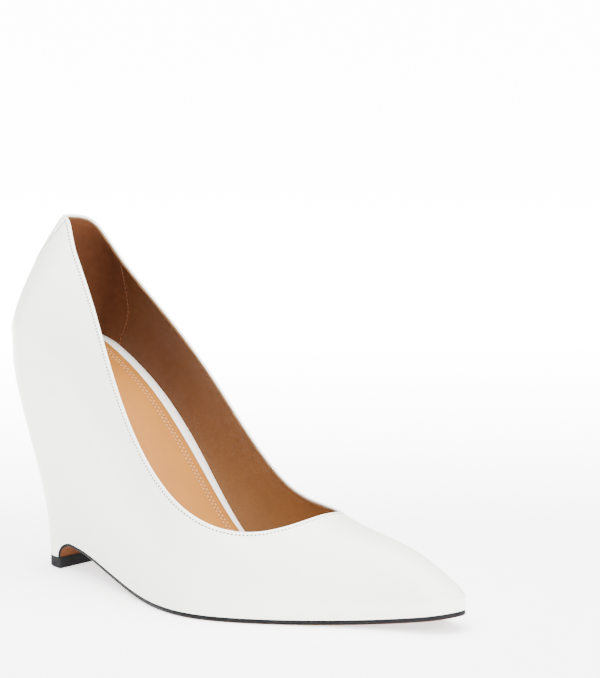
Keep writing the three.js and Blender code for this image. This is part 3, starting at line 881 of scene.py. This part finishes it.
def layer(name, profile, end, material, across=18, **links):
    """Layer under the foot from an edge profile of (inset, lift) pairs, bottom to top, with its top
    face drawn straight across from side to side."""
    n = len(under_walk)
    paths = [inset_path(inset, lift) for inset, lift in profile]
    outer = np.stack([p[:n][::-1] for p in paths], 1)[:end]
    inner = np.stack([p[n - 1:] for p in paths], 1)[:end]
    share = np.linspace(0, 1, across + 1)[1:-1][None, :, None]
    top = outer[:, -1:] * (1 - share) + inner[:, -1:] * share
    top[..., 2] = foot_height(top[..., 0], profile[-1][1])
    loop = np.concatenate([outer, top, inner[:, ::-1], outer[:, :1]], axis=1)
    uv = loop[..., :2].copy()
    return make_piece(name, [(loop, False, uv)], material, caps=[loop[-1, :-1]], **links)


board_profile = [(0, -BOARD), (0, -0.5), (0.12, -0.18), (0.45, 0)]
layer("insole_board", board_profile, len(under_walk), white_wrap, node="insole", slot="insole_wrap")
SOCK_TOP = SOCK + FIT_GAP
sock_profile = [(sock_inset, 0.02), (sock_inset, SOCK_TOP - 0.5), (sock_inset + 0.12, SOCK_TOP - 0.16),
                (sock_inset + 0.5, SOCK_TOP)]
sock_end = int(np.searchsorted(under_x, LENGTH - 1.5 * NOSE_LENGTH))
layer("sock_cover", sock_profile, sock_end, sock_leather, node="sock", slot="sock_leather")


# Outsole and heel tip

sole_x = np.concatenate([
    BREAST_AT + (NOTCH_END - BREAST_AT) * (1 - np.cos(np.linspace(0, 1, 15) * math.pi / 2)),
    np.linspace(NOTCH_END, LENGTH - NOSE_LENGTH, 90)[1:],
    LENGTH - NOSE_LENGTH + NOSE_LENGTH * np.sin(np.linspace(0, 1, 22)[1:] * math.pi / 2)])
sole_z = sole_line(sole_x, 0)
sole_px = placed_x(sole_x, sole_z)
sole_run = np.concatenate([[0], np.cumsum(np.hypot(np.diff(sole_px), np.diff(sole_z)))])
sole_dir = unit(np.stack([np.gradient(sole_px), np.gradient(sole_z)], -1))
sole_dir[0] = [0, 1]
sole_thick = SOLE_ARCH + (SOLE - SOLE_ARCH) * smooth_between(sole_x, NOTCH_END, ARCH_END)


def sole_outline(side):
    half = foot[side](sole_x) * nose_round(sole_x) * heel_round(sole_x, sole_z)
    return np.stack([sole_run, swing(sole_x) + side * half], -1)


flat_path = np.concatenate([sole_outline(-1), sole_outline(1)[-2::-1]])
flat_tangent = unit(np.gradient(flat_path, axis=0))
flat_inward = np.stack([-flat_tangent[:, 1], flat_tangent[:, 0]], -1)
flat_inward[[0, -1]] = [[0, 1], [0, -1]]


def sole_point(flat, share):
    """Point of the outsole from its unrolled plan and a share of its thickness under the top."""
    run, across = flat[..., 0], flat[..., 1]
    tables = (sole_px, sole_z, sole_dir[:, 0], sole_dir[:, 1], sole_thick)
    x, z, along, up, thick = (np.interp(run, sole_run, table) for table in tables)
    down = share * thick
    return np.stack([x + up * down, across, np.maximum(0, z - along * down)], -1)


def sole_layer(name, profile, material, **links):
    """Layer of the outsole from an edge profile of (inset, share of the thickness) pairs, from its
    top round its edge to its bottom."""
    n = len(sole_x)
    outer, inner = [], []
    for inset, share in profile:
        flat = flat_path + flat_inward * inset
        outer.append(sole_point(flat[:n], share))
        inner.append(sole_point(flat[n - 1:][::-1], share))
    outer = np.stack(outer, 1)
    inner = np.stack(inner, 1)
    share = np.linspace(0, 1, 15)[1:-1][None, :, None]
    bottom = outer[:, -1:] * (1 - share) + inner[:, -1:] * share
    loop = np.concatenate([outer, bottom, inner[:, ::-1], outer[:, :1]], axis=1)
    return make_piece(name, [(loop, False, loop[..., :2].copy())], material, caps=[loop[0, :-1]], **links)


sole_layer("sole_edge", [(0.3, -0.1), (0.0, 0.0), (-0.14, 0.22), (-0.12, 0.6), (0.02, 0.8), (0.4, 0.9)],
           edge_black, node="outsole", slot="sole_leather")
sole_layer("sole_tread", [(0.5, 0.3), (0.12, 0.78), (0.2, 0.86), (0.6, 0.98), (0.9, 1.0)],
           tread_tan, node="outsole", slot="sole_leather")

tip_x = BREAST_AT * (1 - np.cos(np.linspace(0, 1, 28) * math.pi / 2))
tip_x = np.append(tip_x, TIP_LENGTH)
tip_px = placed_x(tip_x, TIP_HEIGHT)


def tip_outline(side):
    half = foot[side](tip_x) * heel_round(tip_x, TIP_HEIGHT)
    return np.stack([tip_px, swing(tip_x) + side * half], -1)


tip_path = np.concatenate([tip_outline(-1)[:0:-1], tip_outline(1)])
tip_tangent = unit(np.gradient(tip_path, axis=0))
tip_inward = np.stack([tip_tangent[:, 1], -tip_tangent[:, 0]], -1)
if tip_inward[len(tip_path) // 2, 0] < 0:
    tip_inward = -tip_inward
tip_inward[[0, -1]] = [[0, 1], [0, -1]]


def heel_tip_piece():
    """Heel tip: its plan drawn up in rings with rounded lower and upper edges."""
    rings = [(0.55, 0), (0.16, 0.14), (0, 0.5), (0, 2.4), (0.06, 2.5), (0, 2.6), (0, TIP_HEIGHT - 0.3),
             (0.1, TIP_HEIGHT - 0.06), (0.3, TIP_HEIGHT + 0.05)]
    n = len(tip_x)
    outer, inner = [], []
    for inset, z in rings:
        moved = tip_path + tip_inward * inset
        moved[[0, -1], 0] -= inset
        whole = np.concatenate([moved, np.full((len(moved), 1), float(z))], 1)
        outer.append(whole[:n][::-1])
        inner.append(whole[n - 1:])
    outer = np.stack(outer, 1)
    inner = np.stack(inner, 1)
    loop = np.concatenate([outer, inner[:, ::-1], outer[:, :1]], axis=1)
    return make_piece("tip_piece", [(loop, False, loop[..., :2].copy())], tip_rubber, caps=[loop[-1, :-1]],
                      node="heel_tip", slot="tip_rubber", crease=40)


heel_tip_piece()


# Seams and stitches

def bead_template(around, along):
    """Closed bead of unit length and width along its first axis: rows of a rounded profile."""
    t = np.linspace(0, math.pi, along)[:, None]
    turn = np.linspace(0, 2 * math.pi, around + 1)[None, :]
    thick = np.sin(t) ** 0.6
    grid = (-np.cos(t) / 2, thick * np.cos(turn) / 2, thick * np.sin(turn) / 2)
    return np.stack(np.broadcast_arrays(*grid), -1)


def spaced(path, normals, pitch, start=0.0):
    """Points, tangents and normals at even steps along a path."""
    run = np.concatenate([[0], np.cumsum(np.linalg.norm(np.diff(path, axis=0), axis=1))])
    at = np.arange(start, run[-1], pitch)
    spots, ways, ups = (np.stack([np.interp(at, run, v[:, k]) for k in range(3)], -1)
                        for v in (path, np.gradient(path, axis=0), normals))
    return spots, unit(ways), unit(ups)


def beads(name, centres, tangents, normals, size, material, turn=0.0):
    """Many small beads at once, each turned to its place: along the tangent, across and up the normal.
    turn swings each bead's length away from the path, as a sewing machine's stitch does."""
    along = unit(tangents - normals * (tangents * normals).sum(-1, keepdims=True))
    across = np.cross(normals, along)
    swung = along * math.cos(turn) + across * math.sin(turn)
    aside = across * math.cos(turn) - along * math.sin(turn)
    sized = bead_template(6, 7) * size
    grid = (centres[:, None, None] + sized[None, ..., :1] * swung[:, None, None]
            + sized[None, ..., 1:2] * aside[:, None, None] + sized[None, ..., 2:] * normals[:, None, None])
    return make_piece(name, [(bead, False, sized[..., :2]) for bead in grid], material, crease=80)


top_path = rim_line + rim_down * TOP_ROW
beads("topline_stitches", *spaced(top_path, rim_normal, TOP_PITCH), TOP_STITCH, white_thread, turn=0.12)
turn_spot = [np.argmin(np.abs(station(ring_walk[open_ring].clip(0, 1)) - SEAM_AT))]
beads("seam_turn", rim_line[turn_spot] - rim_normal[turn_spot] * 0.5,
      unit(np.gradient(rim_line, axis=0))[turn_spot], -rim_down[turn_spot], SEAM_TURN, white_leather)
# The topline holes are dark beads of painted shade in the needle holes.
beads("topline_holes", *spaced(top_path, rim_normal, TOP_PITCH, start=TOP_PITCH / 2), TOP_HOLE, painted_shade_grey)


def sock_rows():
    """Two rows of stitches round the sock with the needle holes between them."""
    for k, inset in enumerate(SOCK_ROWS):
        path = inset_path(sock_inset + inset, SOCK_TOP + 0.02)
        keep = (path_x < SOCK_ROW_TO) & (path_x > SOCK_ROW_FROM)
        front = np.flatnonzero(keep[:len(under_walk)])
        back = np.flatnonzero(keep[len(under_walk):]) + len(under_walk)
        for side, pick in (("outer", front), ("inner", back)):
            line = path[pick]
            along = unit(np.gradient(line, axis=0))
            across = unit(np.cross(along, [0, 0, 1.0]))
            up = unit(np.cross(across, along))
            first = 0.5 * k
            beads(f"sock_stitches_{side}_{k}", *spaced(line, up, SOCK_PITCH, start=first), SOCK_STITCH,
                  sock_thread, turn=0.25)
            beads(f"sock_holes_{side}_{k}", *spaced(line, up, SOCK_PITCH, start=first + SOCK_HOLE_AT),
                  SOCK_HOLE, hole_shade)


sock_rows()


def grip_seam():
    """Stitches along the heel grip's front edge on both sides."""
    v = np.linspace(0.04, 0.97, 80)
    s = GRIP_LOW + (GRIP_HIGH - GRIP_LOW) * v
    walk = walk_at(grip_reach(v) - GRIP_ROW)
    for side, name in ((-1, "outer"), (1, "inner")):
        line = wall(walk * side, s, np.full(v.shape, UPPER_WALL + GRIP_THICK + 0.02))
        inward = -normal_at(walk * side, s)
        beads(f"grip_stitches_{name}", *spaced(line, inward, GRIP_PITCH), GRIP_STITCH, grip_thread, turn=0.15)


grip_seam()

# Camera, light and floor

TARGET = np.array([110, 0, 60]) * MM + SHIFT
CAMERA_TURN = math.radians(41.16)
CAMERA_RISE = math.radians(10.37)
CAMERA_DISTANCE = 1303.5 * MM
FOCAL_PIXELS = 3083.2
FRAME_WIDTH = 600
FRAME_HEIGHT = 678
AXIS_AT = (218.3, 454.5)
SENSOR = 36

# Each light: place in metres, its two sides and its power
LIGHTS = {
    "key": ((0.2, -1.6, 1.5), (1.6, 1.2), 44),
    "top": ((-0.1, 0.2, 1.8), (2.0, 2.0), 140),
    "front": ((1.7, -0.3, 0.7), (1.0, 1.2), 80),
}
WORLD_STRENGTH = 1.4

# The floor's half size, and how its glow grows with the distance behind the shoe
FLOOR_SIZE = 20
FLOOR_NEAR = 0.15
FLOOR_FAR = 0.8
GLOW_NEAR = 1.6
GLOW_FAR = 13.0


def add_camera():
    """The photograph's camera: back towards it, right and up, with the axis off the middle."""
    back = np.array([math.sin(CAMERA_TURN) * math.cos(CAMERA_RISE),
                     -math.cos(CAMERA_TURN) * math.cos(CAMERA_RISE), math.sin(CAMERA_RISE)])
    right = np.array([math.cos(CAMERA_TURN), math.sin(CAMERA_TURN), 0])
    up = np.cross(back, right)
    data = bpy.data.cameras.new("camera")
    data.sensor_width = SENSOR
    data.lens = FOCAL_PIXELS * SENSOR / FRAME_HEIGHT
    data.shift_x = (FRAME_WIDTH / 2 - AXIS_AT[0]) / FRAME_HEIGHT
    data.shift_y = (AXIS_AT[1] - FRAME_HEIGHT / 2) / FRAME_HEIGHT
    data.clip_start = 0.05
    data.clip_end = 60
    camera = bpy.data.objects.new("camera", data)
    place = np.eye(4)
    place[:3, 0], place[:3, 1], place[:3, 2] = right, up, back
    place[:3, 3] = TARGET + back * CAMERA_DISTANCE
    camera.matrix_world = Matrix(place.tolist())
    bpy.context.scene.collection.objects.link(camera)
    bpy.context.scene.camera = camera


def add_light(name, place, size, power):
    """Soft rectangular light, turned to the shoe."""
    data = bpy.data.lights.new(name, "AREA")
    data.shape = "RECTANGLE"
    data.size, data.size_y = size
    data.energy = power
    lamp = bpy.data.objects.new(name, data)
    away = unit(np.array(place) - TARGET)
    right = unit(np.cross([0, 0, 1], away))
    turned = np.eye(4)
    turned[:3, 0], turned[:3, 1], turned[:3, 2] = right, np.cross(away, right), away
    turned[:3, 3] = place
    lamp.matrix_world = Matrix(turned.tolist())
    bpy.context.scene.collection.objects.link(lamp)


def add_world():
    world = bpy.data.worlds.new("world")
    bpy.context.scene.world = world
    world.use_nodes = True
    tree = world.node_tree
    tree.nodes["Background"].inputs["Color"].default_value = (0.98, 0.99, 1, 1)
    tree.nodes["Background"].inputs["Strength"].default_value = WORLD_STRENGTH


def add_floor():
    """Plain pale floor that glows more and more the further it lies behind the shoe."""
    ends = [-FLOOR_SIZE, FLOOR_SIZE]
    grid = np.stack(np.meshgrid(ends, ends, indexing="ij") + [np.zeros((2, 2))], -1)
    mesh = bpy.data.meshes.new("floor")
    mesh.from_pydata(grid.reshape(-1, 3).tolist(), [], [[0, 2, 3, 1]])
    material = new_material(
        "floor_paper", SUEDE, {"Color": srgb(250, 250, 250), "Tint": srgb(248, 248, 248), "Fibres": 300.0},
        0.00001)
    tree = material.node_tree
    behind = (-math.sin(CAMERA_TURN), math.cos(CAMERA_TURN), 0)
    place = node(tree, "ShaderNodeTexCoord").outputs["Object"]
    away = node(tree, "ShaderNodeVectorMath", {0: place, 1: behind}, operation="DOT_PRODUCT")
    glow = ranged(tree, away.outputs["Value"], FLOOR_NEAR, FLOOR_FAR, GLOW_NEAR, GLOW_FAR)
    tree.links.new(glow, tree.nodes["Principled BSDF"].inputs["Emission Strength"])
    tree.nodes["Principled BSDF"].inputs["Emission Color"].default_value = (1, 1, 1, 1)
    mesh.materials.append(material)
    floor = bpy.data.objects.new("floor", mesh)
    bpy.context.scene.collection.objects.link(floor)
    floor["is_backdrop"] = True


add_camera()
add_world()
for name, light in LIGHTS.items():
    add_light(name, *light)
add_floor()

cad_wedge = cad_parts["wedge"]
cad_wedge.data.materials.clear()
cad_wedge.data.materials.append(wedge_block)

dressed_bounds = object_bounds()


def plain(value):
    if hasattr(value, "items"):
        return {str(k): plain(v) for k, v in value.items()}
    if isinstance(value, (int, float, str)):
        return value
    return [plain(v) for v in value]


{"packed": plain(packed_bounds), "dressed": plain(dressed_bounds)}
